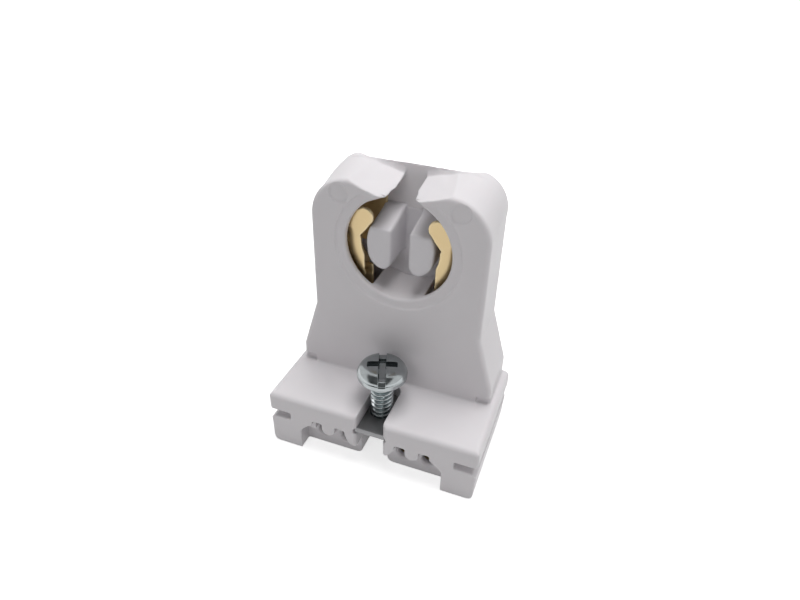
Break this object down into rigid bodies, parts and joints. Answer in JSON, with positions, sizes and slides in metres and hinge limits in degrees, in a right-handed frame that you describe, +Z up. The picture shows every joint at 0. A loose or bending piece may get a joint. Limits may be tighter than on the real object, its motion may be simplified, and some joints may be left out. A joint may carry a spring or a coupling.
{
  "type": "fluorescent tube lamp holder",
  "caption": "Turn-type pedestal holder for the pin cap of a fluorescent tube, with brass contacts, push-in wire entries and a fixing screw in a captive nut plate.",
  "frame": {"origin": "on the surface that the feet stand on, below the middle of the holder", "axes": "+Z up from the feet, -Y out of the face that the lamp's cap meets, +X across the holder"},
  "size_m": [0.033, 0.019, 0.0425],
  "materials": {
    "white_plastic": "moulded thermoplastic, fine satin grain",
    "brass": "stamped strip, softly bright",
    "dark_steel": "dark plated, dull",
    "zinc_steel": "bright zinc plate"
  },
  "bodies": {
    "holder": {"housing": "white_plastic", "rear_cover": "white_plastic", "contact_left": "brass", "contact_right": "brass", "nut_plate": "dark_steel"},
    "screw": {"mounting_screw": "zinc_steel"}
  },
  "joints": [
    {"name": "screw_travel", "type": "slide", "parent": "holder", "child": "screw", "axis": [0, 0, 1], "range_m": [-0.0045, 0.0014]}
  ]
}
